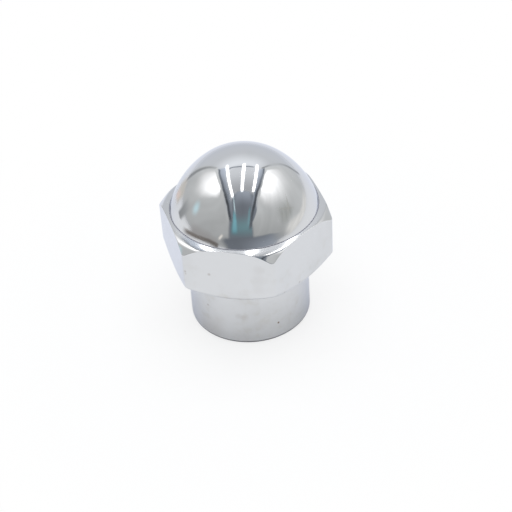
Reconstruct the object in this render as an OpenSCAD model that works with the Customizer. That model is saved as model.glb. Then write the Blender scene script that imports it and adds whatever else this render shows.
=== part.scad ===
// Axle shoulder nut, one solid piece turned from hexagon bar and polished.
//
// From the bottom up it has a round shoulder, a hexagon for the spanner and a closed dome, with a
// blind threaded hole from below. The origin is at the middle of the shoulder's end face, and +Z
// runs up the axis to the top of the dome. Lengths are in millimetres and angles in degrees.

/* [Shoulder] */
// Diameter of the shoulder
shoulder_d = 17.7; // [16:0.1:20]
// Length of the shoulder, from its end face to the underside of the hexagon
shoulder_l = 10; // [4:0.5:20]
// Width of the bevel round the shoulder's end
shoulder_bevel = 0.3; // [0.1:0.05:0.8]

/* [Hexagon] */
// Width across the spanner flats
across_flats = 22; // [21:0.1:26]
// Height of the hexagon, from its underside to the foot of the dome
hex_h = 8.85; // [6:0.05:14]
// Radius that rounds the upright corners
corner_round = 0.8; // [0.3:0.1:1.6]
// Distance from the middle of each flat in to the flat face underneath
seat_inset = 0.6; // [0.2:0.1:1.4]
// Slope of the bevel under the corners, from level
under_slope = 34; // [15:1:50]

/* [Dome] */
// Height of the dome above its foot
dome_h = 8.55; // [7.5:0.05:11]
// Distance from the middle of each flat in to the foot of the dome
dome_inset = 0.45; // [0.25:0.05:1]
// Radius of the round crown
crown_r = 9.8; // [8.4:0.1:11.4]
// Slope of the surface where the crown runs into the flatter flank, from level
crown_slope = 40; // [30:1:46]

/* [Top chamfer] */
// Width of the gentle ring that slopes away from the foot of the dome
ring_w = 1.1; // [0.6:0.05:1.5]
// Slope of the gentle ring, from level
ring_slope = 21; // [10:1:38]
// Slope of the steep bevel outside the ring, which only the corners reach, from level
bevel_slope = 50; // [38:1:60]
// Radius of the fine groove that the tool leaves round the foot of the dome
groove_r = 0.15; // [0.08:0.01:0.2]

/* [Threaded hole] */
// Outer diameter of the thread
thread_d = 14; // [10:0.5:15]
// Pitch of the thread
thread_pitch = 1.5; // [0.75:0.25:2]
// Metal left between the point of the drilled hole and the top of the dome
dome_wall = 4.7; // [3:0.1:8]
// Angle of the drill's point
drill_angle = 118; // [90:1:140]
// Angle of the countersink at the mouth
mouth_angle = 90; // [60:1:120]
// How far the countersink opens past the thread, on the diameter
mouth_clearance = 0.6; // [0.2:0.1:1.5]

/* [Hidden] */
$fn = 128;

chrome = [0.80, 0.81, 0.83];
SIDES = 6;
half_corner = 180 / SIDES;

// Two arcs that would only graze each other run past by this much, so that they cross cleanly
crossing = 0.002;
// How far a shape that cuts, bounds or laps another runs past the line where its work ends
past = 1;

// Hexagon: distances from the axis
flat_r = across_flats / 2;
corner_r = flat_r / cos(half_corner);
seat_r = flat_r - seat_inset;
round_centre_r = corner_r - (corner_round - crossing) / cos(half_corner);
round_start_r = round_centre_r + corner_round * cos(half_corner);
blank_r = corner_r + past;

// Heights
dome_foot_z = shoulder_l + hex_h;
overall_h = dome_foot_z + dome_h;

// Dome: the crown's centre is on the axis. The flank's arc leaves the crown at the join, where
// both have crown_slope, and ends at the foot. Its radius is the chord from join to foot,
// squared, over twice how far that chord drops along the join's normal.
dome_r = flat_r - dome_inset;
crown_z = overall_h - crown_r;
join_normal = [sin(crown_slope), cos(crown_slope)];
join = [0, crown_z] + (crown_r - crossing) * join_normal;
foot = [dome_r, dome_foot_z];
chord = foot - join;
flank_r = -(chord * chord) / (2 * join_normal * chord);
flank_centre = join - flank_r * join_normal;

// Top chamfer: the ring's outer edge, and where the bevel leaves the blank
ring_r = dome_r + ring_w;
ring_z = dome_foot_z - ring_w * tan(ring_slope);
bevel_end_z = ring_z - (blank_r - ring_r) * tan(bevel_slope);

// Hole: its round wall is the thread's core, 1.0825 pitches narrower than the thread
core_r = (thread_d - 1.0825 * thread_pitch) / 2;
point_h = core_r / tan(drill_angle / 2);
wall_end_z = overall_h - dome_wall - point_h;
mouth_r = (thread_d + mouth_clearance) / 2;
mouth_h = (mouth_r - core_r) / tan(mouth_angle / 2);

// What the rounding takes off one corner of the bar, with the corner on the X axis
module corner_waste() {
    difference() {
        translate([round_start_r, -flat_r / 2]) square([corner_r, flat_r]);
        translate([round_centre_r, 0]) circle(r = corner_round);
    }
}

// The hexagon bar that the nut is turned from, with flats towards -Y and +Y
module hexagon_bar() {
    linear_extrude(height = overall_h + past) difference() {
        circle(r = corner_r, $fn = SIDES);
        for (corner = [0 : SIDES - 1]) rotate(corner * 2 * half_corner) corner_waste();
    }
}

// Half section of the shoulder
module shoulder_section() {
    r = shoulder_d / 2;
    polygon([[0, 0], [r - shoulder_bevel, 0], [r, shoulder_bevel], [r, shoulder_l], [0, shoulder_l]]);
}

// Half section of what the tool leaves of the bar for the hexagon
module collar_section() {
    polygon([
        [0, shoulder_l],
        [seat_r, shoulder_l],
        [blank_r, shoulder_l + (blank_r - seat_r) * tan(under_slope)],
        [blank_r, bevel_end_z],
        [ring_r, ring_z],
        foot,
        [0, dome_foot_z]
    ]);
}

// Half section of the dome: the flank's disc up to the join, and the crown's disc lapping over it
module dome_section() {
    intersection() {
        translate(flank_centre) circle(r = flank_r);
        translate([0, dome_foot_z]) square([blank_r, join[1] - dome_foot_z]);
    }
    intersection() {
        translate([0, crown_z]) circle(r = crown_r);
        translate([0, join[1] - past]) square([blank_r, dome_h]);
    }
}

// Everything that is turned on the outside, before the flats are counted
module turned_outside() {
    rotate_extrude() difference() {
        union() {
            shoulder_section();
            collar_section();
            dome_section();
        }
        translate(foot) circle(r = groove_r);
    }
}

// Blind hole from below, with a countersunk mouth, a round wall and a drilled point
module threaded_hole() {
    translate([0, 0, -past]) cylinder(h = wall_end_z + past, r = core_r);
    translate([0, 0, wall_end_z]) cylinder(h = point_h, r1 = core_r, r2 = 0);
    cylinder(h = mouth_h, r1 = mouth_r, r2 = core_r);
}

module nut() {
    color(chrome) difference() {
        intersection() {
            turned_outside();
            hexagon_bar();
        }
        threaded_hole();
    }
}

nut();
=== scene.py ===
"""Dresses the axle shoulder nut: its chromed skin, its threaded bore, the studio round it and the camera.

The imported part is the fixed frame. One modelled piece stands for its node: a polished nut whose edges
are softened and whose blind hole has a real thread. Lengths are in millimetres and angles in degrees
until a mesh is written, which happens in metres. The nut's axis is Z and its shoulder stands on z = 0.
"""

import logging
import math
from dataclasses import dataclass, field
from enum import Enum

import bmesh
import bpy
import numpy as np
from mathutils import Matrix, Vector

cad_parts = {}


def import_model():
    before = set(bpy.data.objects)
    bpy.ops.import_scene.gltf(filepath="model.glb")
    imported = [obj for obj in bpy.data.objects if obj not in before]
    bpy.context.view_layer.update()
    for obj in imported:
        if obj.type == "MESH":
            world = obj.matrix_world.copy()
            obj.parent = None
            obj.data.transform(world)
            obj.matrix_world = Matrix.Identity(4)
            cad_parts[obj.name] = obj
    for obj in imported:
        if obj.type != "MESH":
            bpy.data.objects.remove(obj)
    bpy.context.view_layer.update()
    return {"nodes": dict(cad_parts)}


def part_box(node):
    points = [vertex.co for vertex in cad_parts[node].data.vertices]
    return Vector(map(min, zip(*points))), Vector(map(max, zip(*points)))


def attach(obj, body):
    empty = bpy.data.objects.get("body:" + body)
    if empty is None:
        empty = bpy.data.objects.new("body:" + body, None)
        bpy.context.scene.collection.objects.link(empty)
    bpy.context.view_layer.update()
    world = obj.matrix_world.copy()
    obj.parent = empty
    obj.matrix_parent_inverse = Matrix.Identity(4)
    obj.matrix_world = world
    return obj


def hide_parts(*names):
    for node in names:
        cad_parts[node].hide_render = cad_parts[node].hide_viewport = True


Array = np.ndarray
Colour = tuple[float, float, float]
Place = tuple[float, float]
Line = tuple[Place, ...]

LOG = logging.getLogger("shoulder_nut")
MM = 0.001
NODE = "nut"
BODY = "root"
WHITE = (1.0, 1.0, 1.0)

# A side of the hexagon takes up a sextant of the turn
SEXTANT, HALF_SEXTANT = 60, 30
# Edges that turn by more than this are shaded sharp
SHARP_ANGLE = 38
# The most of a leg that two softened corners take up, and the furthest that a shading row stands off
LEG_SHARE, SUPPORT_SHARE = 0.9, 0.04
# Mesh rows across a card of the tent and columns along it
CARD_ROWS, CARD_COLUMNS = 25, 61
# Points on each edge of a card that follows a line, and of a tube
LINE_POINTS, TUBE_POINTS = 41, 25
# Light of the white tubes
TUBE_LIGHT = 4.5


class Metal(Enum):
    """Which finish a face of the nut takes, as its place in the nut's list of materials."""

    CHROME = 0
    BORE = 1
    # Darker grey chrome in the fine groove round the dome's foot: painted shade in the recess
    GROOVE = 2
    # Near-black chrome on the bevel round the end face: painted shade where the nut meets the floor
    RIM = 3


# --------------------------------------------------------------------------- numpy helpers


def smooth(low: float, high: float, x: Array) -> Array:
    """A smooth step: 0 below low, 1 above high, and 3t^2 - 2t^3 of the share t between them."""
    t = np.clip((np.asarray(x, float) - low) / (high - low), 0.0, 1.0)
    return t * t * (3.0 - 2.0 * t)


def arc(centre: Place, radius: float, start: float, end: float, rows: int) -> Array:
    """Points centre + radius * (sin t, cos t), for angles t from the axis that are evenly spaced."""
    t = np.radians(np.linspace(start, end, rows))
    return np.stack([centre[0] + radius * np.sin(t), centre[1] + radius * np.cos(t)], axis=-1)


def corners(like: Array, *points: tuple[object, object]) -> Array:
    """Corners of a half section in every column, each alike in all columns or one a column."""
    return np.stack([np.stack([r + 0 * like, z + 0 * like], axis=-1) for r, z in points])


def soften(path: Array, trims: tuple[float, ...], arc_rows: int, support: float) -> Array:
    """Rounds the corners of a half section, in every column at once.

    Each inner corner C gives way to the curve (1-t)^2 A + 2t(1-t) C + t^2 B. A and B lie on its two
    legs, at the corner's trim from C. Where the trims at both ends of a leg would meet, they shrink
    in proportion. One more row stands just outside A and B, so that the straight legs shade flat.

    Args:
        path: the corners, as an array of corners by columns by 2.
        trims: the trim of each inner corner.
        arc_rows: rows on each rounded corner.
        support: how far the extra rows stand outside A and B.

    Returns:
        The rounded path, as an array of rows by columns by 2.
    """
    legs = np.diff(path, axis=0)
    length = np.linalg.norm(legs, axis=-1, keepdims=True)
    unit = legs / length
    wanted = np.array([0.0, *trims, 0.0])[:, None, None]
    fit = np.minimum(1.0, LEG_SHARE * length / np.maximum(wanted[:-1] + wanted[1:], 1e-9))
    t = np.linspace(0.0, 1.0, arc_rows)[:, None, None]
    rows = [path[:1]]
    for k, trim in enumerate(trims):
        corner, shorter = path[k + 1], np.minimum(length[k], length[k + 1])
        reach = trim * np.minimum(fit[k], fit[k + 1])
        step = np.minimum(support, SUPPORT_SHARE * shorter)
        before, after = corner - reach * unit[k], corner + reach * unit[k + 1]
        rows.append((before - step * unit[k])[None])
        rows.append((1 - t) ** 2 * before + 2 * t * (1 - t) * corner + t**2 * after)
        rows.append((after + step * unit[k + 1])[None])
    rows.append(path[-1:])
    return np.concatenate(rows)


def around(radius: Array, height: Array, azimuth: Array) -> Array:
    """Carries half sections round the axis: x = r cos a, y = r sin a, z = height."""
    a = np.radians(azimuth)[None, :]
    return np.stack([radius * np.cos(a), radius * np.sin(a), height + 0 * a], axis=-1)


def quads(rows: int, columns: int, shift: int = 0) -> Array:
    """The faces of a grid whose columns close into a ring.

    Face (i, j) joins rows i and i + 1 of columns j and j + 1. Past the last column it takes up the
    first one again, shift rows further on, which is how a screw surface closes.

    Args:
        rows: rows in the grid.
        columns: columns in the grid.
        shift: rows by which the ring climbs in one turn.

    Returns:
        An array of faces by 4 indices into the grid's flattened points.
    """
    i, j = np.meshgrid(np.arange(rows - 1 - shift), np.arange(columns), indexing="ij")
    turn, beside = (j + 1) // columns, (j + 1) % columns
    a, b = i * columns + j, (i + 1) * columns + j
    c, d = (i + 1 + turn * shift) * columns + beside, (i + turn * shift) * columns + beside
    return np.stack([a, b, c, d], axis=-1).reshape(-1, 4)


# --------------------------------------------------------------------------- meshes and objects


def new_mesh(name: str, points: Array, faces: Array) -> bpy.types.Mesh:
    """Writes a mesh.

    Args:
        name: the mesh's name.
        points: its points in metres, with any leading axes and a last axis of 3.
        faces: its faces, with any leading axes and a last axis of 4 indices.

    Returns:
        The mesh.
    """
    mesh = bpy.data.meshes.new(name)
    mesh.from_pydata(points.reshape(-1, 3).tolist(), [], faces.reshape(-1, 4).tolist())
    return mesh


def put(name: str, data: bpy.types.ID) -> bpy.types.Object:
    """Makes an object and links it to the scene.

    Args:
        name: the object's name.
        data: its mesh, lamp or camera.

    Returns:
        The object.
    """
    made = bpy.data.objects.new(name, data)
    bpy.context.scene.collection.objects.link(made)
    return made


def close(mesh: bpy.types.Mesh, gap: float = 1e-7) -> None:
    """Merges the points where grids meet, so that poles and seams close, and shades the mesh.

    Args:
        mesh: the mesh to close.
        gap: how near two points have to be to merge, in metres.
    """
    made = bmesh.new()
    made.from_mesh(mesh)
    bmesh.ops.remove_doubles(made, verts=made.verts, dist=gap)
    bmesh.ops.dissolve_degenerate(made, edges=made.edges, dist=gap)
    made.to_mesh(mesh)
    made.free()
    mesh.polygons.foreach_set("use_smooth", np.ones(len(mesh.polygons), bool))
    mesh.set_sharp_from_angle(angle=math.radians(SHARP_ANGLE))
    mesh.update()


# --------------------------------------------------------------------------- the nut's shape


@dataclass
class HexagonBar:
    """The hexagon bar's outline: six flats joined by rounded corners.

    Attributes:
        flat_r: distance from the axis to a flat.
        corner_round: radius that rounds the upright corners.
        corner_columns: mesh columns on each rounded corner.
        support: angle from a rounded corner to the first column on the flat.
        flat_columns: mesh columns on each half flat.
        crowding: power by which the columns on a flat crowd towards its corners.
    """

    flat_r: float
    corner_round: float = 0.8
    corner_columns: int = 11
    support: float = 0.2
    flat_columns: int = 13
    crowding: float = 1.4

    @property
    def round_centre(self) -> float:
        """Distance from the axis to the centre of a corner's rounding."""
        return (self.flat_r - self.corner_round) / math.cos(math.radians(HALF_SEXTANT))

    def azimuths(self) -> Array:
        """Azimuths of the mesh columns, close together on the corners.

        Returns:
            The rising azimuths of one turn, with a corner on 0.
        """
        normal = np.radians(np.linspace(-HALF_SEXTANT, HALF_SEXTANT, self.corner_columns))
        across = self.corner_round * np.sin(normal)
        corner = np.degrees(np.arctan2(across, self.round_centre + self.corner_round * np.cos(normal)))
        share = np.linspace(0.0, 1.0, self.flat_columns) ** self.crowding
        start = corner[-1] + self.support
        flat = start + (HALF_SEXTANT - start) * share
        half = np.concatenate([corner[corner > 1e-9], flat])
        sextant = np.concatenate([-half[::-1][1:], [0.0], half])
        return (sextant[None, :] + SEXTANT * np.arange(6)[:, None]).ravel()

    def reach(self, azimuth: Array) -> Array:
        """Distance from the axis to the outline.

        With w the angle from the nearest corner, a flat is at flat_r / cos(30 - w), and the rounding
        is at c cos w + sqrt(round^2 - (c sin w)^2), where c is the distance of its centre.

        Args:
            azimuth: the mesh columns' azimuths.

        Returns:
            The distance at each azimuth.
        """
        w = np.abs((azimuth + HALF_SEXTANT) % SEXTANT - HALF_SEXTANT)
        flat = self.flat_r / np.cos(np.radians(HALF_SEXTANT - w))
        centre, rounding, half = self.round_centre, self.corner_round, math.radians(HALF_SEXTANT)
        across = centre * np.sin(np.radians(w))
        tip = centre * np.cos(np.radians(w)) + np.sqrt(np.maximum(rounding**2 - across**2, 0.0))
        last = math.degrees(math.atan2(rounding * math.sin(half), centre + rounding * math.cos(half)))
        return np.where(w <= last + 1e-9, tip, flat)


@dataclass
class Thread:
    """The blind hole's thread, with its countersunk mouth, plain end and drilled point.

    Attributes:
        major_r: distance from the axis to the thread's roots.
        pitch: height that the thread climbs in one turn.
        root: share of the pitch that the flat root takes up.
        flank: share of the pitch that each sloping flank takes up.
        mouth_r: radius of the countersink at the end face, which slopes at 45 degrees.
        wall_end: height where the round wall gives way to the drilled point.
        point_angle: angle of the drilled point.
        runout: height over which the last turns of the thread grow shallow.
        plain: height of the plain wall above the last turn.
        even_rows: evenly spaced mesh rows in one pitch, besides those on the profile's corners.
        point_rows: mesh rows on the drilled point.
    """

    major_r: float = 7.0
    pitch: float = 1.5
    root: float = 1 / 8
    flank: float = 5 / 16
    mouth_r: float = 7.3
    wall_end: float = 18.982
    point_angle: float = 118.0
    runout: float = 3.0
    plain: float = 1.4
    even_rows: int = 10
    point_rows: int = 8

    @property
    def minor_r(self) -> float:
        """Distance from the axis to the thread's crests, 1.0825 pitches nearer on the diameter."""
        return self.major_r - 1.0825 * self.pitch / 2

    @property
    def mouth_end(self) -> float:
        """Height at which the countersink meets the thread's roots."""
        return self.mouth_r - self.major_r

    def radius(self, phase: Array, height: Array) -> Array:
        """Distance from the axis to the wall of the hole.

        Over one pitch the wall stays at the root, slopes in, stays at the crest and slopes out. The
        depth fades out linearly over the runout, and nothing is nearer the axis than the
        countersink's cone, mouth_r - height.

        Args:
            phase: place within a pitch, from 0 to 1, with the middle of the root on 0.
            height: height above the end face.

        Returns:
            The distance at each place.
        """
        depth = self.major_r - self.minor_r
        half_crest = (1 - self.root) / 2 - self.flank
        turned = np.abs((phase % 1.0) - 0.5)
        root = np.clip((turned - half_crest) / self.flank, 0.0, 1.0)
        left = np.clip((self.wall_end - self.plain - height) / self.runout, 0.0, 1.0)
        return np.maximum(self.minor_r + depth * root * left, self.mouth_r - height)

    def wall(self, azimuth: Array) -> tuple[Array, int]:
        """The threaded wall as a screw surface.

        Row s of the column at azimuth a stands at pitch * (s + a / 360) above a start below the
        mouth. Rows that fall outside the hole are held at its two ends, where they merge.

        Args:
            azimuth: the mesh columns' azimuths.

        Returns:
            The points as rows by columns by 3, and the rows by which a turn climbs.
        """
        turns = math.ceil((self.wall_end - self.mouth_end) / self.pitch) + 2
        start, end = self.root / 2, self.root / 2 + self.flank
        even = np.linspace(0.0, 1.0, self.even_rows + 1)
        stops = np.unique(np.round([0.0, start, end, 1 - end, 1 - start, 1.0, *even], 6))[:-1]
        climb = len(stops)
        phase = (np.arange(turns)[:, None] + stops[None, :]).ravel()[:, None]
        height = self.mouth_end - self.pitch + self.pitch * (phase + azimuth[None, :] / 360)
        height = np.clip(height, self.mouth_end, self.wall_end)
        return around(self.radius(phase, height), height, azimuth), climb

    def point(self, azimuth: Array) -> Array:
        """The drilled point: a cone from the wall's end up to the axis.

        Args:
            azimuth: the mesh columns' azimuths.

        Returns:
            The points as rows by columns by 3.
        """
        share = np.linspace(0.0, 1.0, self.point_rows)[:, None]
        rise = self.minor_r / math.tan(math.radians(self.point_angle / 2))
        radius = self.minor_r * (1 - share) + 0 * azimuth
        return around(radius, self.wall_end + rise * share + 0 * azimuth, azimuth)


@dataclass(frozen=True)
class RayFan:
    """The rays that find the top of the hexagon, which fan out from a pivot inside the metal.

    Attributes:
        inset: how far the pivot lies inside the dome's foot.
        depth: how far it lies below the foot.
        by_crease: angles from the ray that meets the crease to those beside it.
        by_rim: angles from the ray that meets the flats' rim to those beside it.
        apart: least angle between those two.
        last: angle of the lowest ray above level, which meets a flat.
        spans: steps from the groove to the crease, from there to the rim and on to the last ray.
        length: how long the rays are.
        halvings: how often the surface's place on a ray is halved.
    """

    inset: float = 0.95
    depth: float = 2.65
    by_crease: tuple[float, ...] = (2.4, 1.2, 0.4, -0.4, -1.2, -2.4)
    by_rim: tuple[float, ...] = (1.4, 0.7, 0.35, 0.12, 0.0, -0.12, -0.35, -0.7, -1.4, -2.2, -2.8)
    apart: float = 4.4
    last: float = 8.0
    spans: tuple[int, int, int] = (6, 10, 4)
    length: float = 6.0
    halvings: int = 40

    def angles(self, first: float, crease: float, rim: Array) -> Array:
        """Spreads the rays, so that one row follows the crease, or the rim, in every column.

        Args:
            first: angle of the ray that meets the groove.
            crease: angle of the ray that meets the crease.
            rim: angle of the ray that meets the rim, in each column.

        Returns:
            The angles above level in radians, as rows by columns, falling from the groove to the flats.
        """
        by_crease, by_rim = np.array(self.by_crease)[:, None], np.array(self.by_rim)[:, None]
        crease, (top, middle, low) = np.maximum(crease, rim + self.apart), self.spans
        parts = [
            np.linspace(first + 0 * rim, crease + by_crease[0], top, endpoint=False),
            crease + by_crease,
            np.linspace(crease + by_crease[-1], rim + by_rim[0], middle + 1)[1:-1],
            rim + by_rim,
            np.linspace(rim + by_rim[-1], self.last + 0 * rim, low + 1)[1:],
        ]
        return np.radians(np.concatenate(parts))


@dataclass
class ShoulderNut:
    """The nut: shoulder, hexagon and dome in one skin, with the threaded hole inside.

    Attributes:
        height: overall height, from the frame.
        bar: the hexagon bar that the nut is turned from.
        thread: the hole.
        fan: the rays that find the top of the hexagon.
        shoulder_r: radius of the shoulder.
        shoulder_l: height of the hexagon's underside.
        shoulder_bevel: width of the bevel round the end face.
        dome_foot: the dome's foot, as distance from the axis and height.
        crown_r: radius of the crown.
        crown_slope: slope where the crown runs into the flank.
        dome_rows: mesh rows on the crown and on the flank.
        groove: depth of the fine groove round the dome's foot.
        groove_trim: trim of the groove's corners.
        groove_rows: mesh rows on each of them.
        ring_w: width of the gentle ring outside the groove.
        ring_slope: slope of the ring.
        bevel_slope: slope of the steeper bevel on the corners.
        ring_blend: how far the polishing wheel blended the ring into the bevel.
        flat_blend: how far it blended both into the flats.
        seat_r: outer radius of the flat face under the hexagon.
        under_slope: slope of the bevel under the corners.
        edge_trims: trims of the edges below, from the hexagon's lower edge to the countersink.
        edge_rows: mesh rows on each of them.
        support: how far shading rows stand from a rounded edge, in the groove a tenth as far.
    """

    height: float
    bar: HexagonBar
    thread: Thread = field(default_factory=Thread)
    fan: RayFan = RayFan()
    shoulder_r: float = 8.85
    shoulder_l: float = 10.0
    shoulder_bevel: float = 0.3
    dome_foot: Place = (10.55, 18.85)
    crown_r: float = 9.8
    crown_slope: float = 40.0
    dome_rows: tuple[int, int] = (30, 20)
    groove: float = 0.07
    groove_trim: float = 0.02
    groove_rows: int = 4
    ring_w: float = 1.1
    ring_slope: float = 19.3
    bevel_slope: float = 50.0
    ring_blend: float = 0.09
    flat_blend: float = 0.018
    seat_r: float = 10.4
    under_slope: float = 34.0
    edge_trims: tuple[float, ...] = (0.22, 0.2, 0.15, 0.16, 0.1, 0.05)
    edge_rows: int = 6
    support: float = 0.04

    def dome(self) -> Array:
        """The dome's half section: the crown's arc from the axis, then the flank's larger arc.

        The flank leaves the crown at the crown's slope and ends at the foot. Its radius is the chord
        from join to foot, squared, over twice the chord's drop along the join's normal.

        Returns:
            An array of rows by 2 that ends at the upper lip of the groove.
        """
        slope = math.radians(self.crown_slope)
        centre = np.array([0.0, self.height - self.crown_r])
        normal = np.array([math.sin(slope), math.cos(slope)])
        join = centre + self.crown_r * normal
        foot = np.array(self.dome_foot)
        chord = foot - join
        radius = -float(chord @ chord) / (2 * float(normal @ chord))
        flank = join - radius * normal
        last = math.degrees(math.atan2(foot[0] - flank[0], foot[1] - flank[1]))
        lip = last - math.degrees(self.groove / radius)
        crown = arc((0.0, float(centre[1])), self.crown_r, 0.0, self.crown_slope, self.dome_rows[0])
        side = arc((float(flank[0]), float(flank[1])), radius, self.crown_slope, lip, self.dome_rows[1])
        return np.concatenate([crown, side[1:]])

    @property
    def crease(self) -> Place:
        """Where the gentle ring gives way to the corner bevel, before they are blended."""
        fall = self.ring_w * math.tan(math.radians(self.ring_slope))
        return self.dome_foot[0] + self.ring_w, self.dome_foot[1] - fall

    @property
    def pivot(self) -> Place:
        """The point inside the metal from which the rays fan out."""
        return self.dome_foot[0] - self.fan.inset, self.dome_foot[1] - self.fan.depth

    def rays(self, reach: Array) -> Array:
        """Angles of the rays from the pivot, close together at the crease and at the flats' rim.

        Before blending, the rim is at the height of the ring or of the bevel, whichever is lower, at
        the outline's distance.

        Args:
            reach: distance from the axis to the hexagon's outline, in each column.

        Returns:
            The angles above level in radians, as rows by columns.
        """
        (foot_r, foot_z), (crease_r, crease_z) = self.dome_foot, self.crease
        ring, bevel = (math.tan(math.radians(slope)) for slope in (self.ring_slope, self.bevel_slope))
        beyond = np.maximum(reach - crease_r, 0.0)
        rim_z = foot_z - (np.minimum(reach, crease_r) - foot_r) * ring - beyond * bevel
        lip = foot_r + 1.1 * self.groove, foot_z - self.groove * ring
        aims = lip, (crease_r, crease_z), (reach, rim_z)
        away = ((r - self.pivot[0], z - self.pivot[1]) for r, z in aims)
        return self.fan.angles(*(np.degrees(np.arctan2(z, r)) for r, z in away))

    def shoulder_top(self, reach: Array) -> Array:
        """The ring, the corner bevel and the upright outline, blended into one polished surface.

        With a and b the distances of a point outside the ring's and the bevel's cone and p the ring
        blend, the top is d = p ln(exp(a / p) + exp(b / p)). With c the distance outside the hexagon's
        outline and q the flat blend, the surface is where exp(d / q) + exp(c / q) = 1. It is found by
        halving along the rays.

        Args:
            reach: distance from the axis to the hexagon's outline, in each column.

        Returns:
            The rows from the groove's outer lip down to the flats, as rows by columns by 2.
        """
        (foot_r, foot_z), (crease_r, crease_z), pivot = self.dome_foot, self.crease, self.pivot
        ring, bevel = math.radians(self.ring_slope), math.radians(self.bevel_slope)
        angles = self.rays(reach)
        near, far = np.zeros_like(angles), np.full_like(angles, self.fan.length)
        for _ in range(self.fan.halvings):
            middle = (near + far) / 2
            r, z = pivot[0] + middle * np.cos(angles), pivot[1] + middle * np.sin(angles)
            a = (z - foot_z) * math.cos(ring) + (r - foot_r) * math.sin(ring)
            b = (z - crease_z) * math.cos(bevel) + (r - crease_r) * math.sin(bevel)
            c = (r - reach) * self.bar.flat_r / reach
            d = self.ring_blend * np.logaddexp(a / self.ring_blend, b / self.ring_blend)
            outside = np.logaddexp(d / self.flat_blend, c / self.flat_blend) > 0
            near, far = np.where(outside, near, middle), np.where(outside, middle, far)
        return np.stack([pivot[0] + near * np.cos(angles), pivot[1] + near * np.sin(angles)], axis=-1)

    def skin(self, azimuth: Array) -> tuple[Array, Array]:
        """The whole outside, from the top of the dome to the countersink.

        Args:
            azimuth: the mesh columns' azimuths.

        Returns:
            The points as rows by columns by 3, and the metal of each row of faces.
        """
        reach = self.bar.reach(azimuth)
        dome, top = self.dome(), self.shoulder_top(reach)
        (foot_r, foot_z), groove, thread = self.dome_foot, self.groove, self.thread
        under = math.tan(math.radians(self.under_slope))
        lips = corners(
            reach,
            dome[-2],
            dome[-1],
            (foot_r - 0.5 * groove, foot_z - 0.8 * groove),
            (foot_r + 0.3 * groove, foot_z - groove),
            top[0].T,
            top[1].T,
        )
        edges = corners(
            reach,
            top[-1].T,
            (reach, self.shoulder_l + (reach - self.seat_r) * under),
            (self.seat_r, self.shoulder_l),
            (self.shoulder_r, self.shoulder_l),
            (self.shoulder_r, self.shoulder_bevel),
            (self.shoulder_r - self.shoulder_bevel, 0.0),
            (thread.mouth_r, 0.0),
            (thread.major_r, thread.mouth_end),
        )
        section = [
            np.repeat(dome[:-2, None, :], len(azimuth), axis=1),
            soften(lips, (self.groove_trim,) * 4, self.groove_rows, 0.1 * self.support),
            top[2:-1],
            soften(edges, self.edge_trims, self.edge_rows, self.support),
        ]
        lip_start, _, edge_start, end = np.cumsum([len(part) for part in section])
        # Each softened corner takes up its own rows and a shading row on either side
        lip, edge = self.groove_rows + 2, self.edge_rows + 2
        metals = np.full(end - 1, Metal.CHROME.value)
        # The groove's rows take the darker chrome, which is painted shade in the groove
        metals[lip_start + 1 + lip // 2 : lip_start + 2 + 3 * lip] = Metal.GROOVE.value
        # The bevel round the end face takes near-black chrome, which is painted shade of its contact with
        # the floor
        metals[edge_start + 1 + 3 * edge : edge_start + 5 * edge] = Metal.RIM.value
        section = np.concatenate(section)
        return around(section[..., 0], section[..., 1], azimuth), metals

    def build(self, finishes: dict[Metal, bpy.types.Material]) -> bpy.types.Object:
        """Makes the nut as one closed mesh.

        Args:
            finishes: the material of each metal.

        Returns:
            The nut's object.
        """
        azimuth = self.bar.azimuths()
        skin, skin_metals = self.skin(azimuth)
        wall, climb = self.thread.wall(azimuth)
        point = self.thread.point(azimuth)
        columns, bore = len(azimuth), Metal.BORE.value
        parts = [
            (skin, quads(len(skin), columns), np.repeat(skin_metals, columns)),
            (wall, quads(len(wall), columns, climb), bore),
            (point, quads(len(point), columns), bore),
        ]
        points, faces, metals, start = [], [], [], 0
        for grid, quad, metal in parts:
            points.append(grid.reshape(-1, 3))
            faces.append(quad + start)
            metals.append(np.zeros(len(quad), int) + metal)
            start += len(points[-1])
        mesh = new_mesh("shoulder_nut", np.concatenate(points) * MM, np.concatenate(faces))
        for metal in Metal:
            mesh.materials.append(finishes[metal])
        mesh.polygons.foreach_set("material_index", np.concatenate(metals).astype(np.int32))
        close(mesh)
        return put("shoulder_nut", mesh)


# --------------------------------------------------------------------------- finishes


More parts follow.
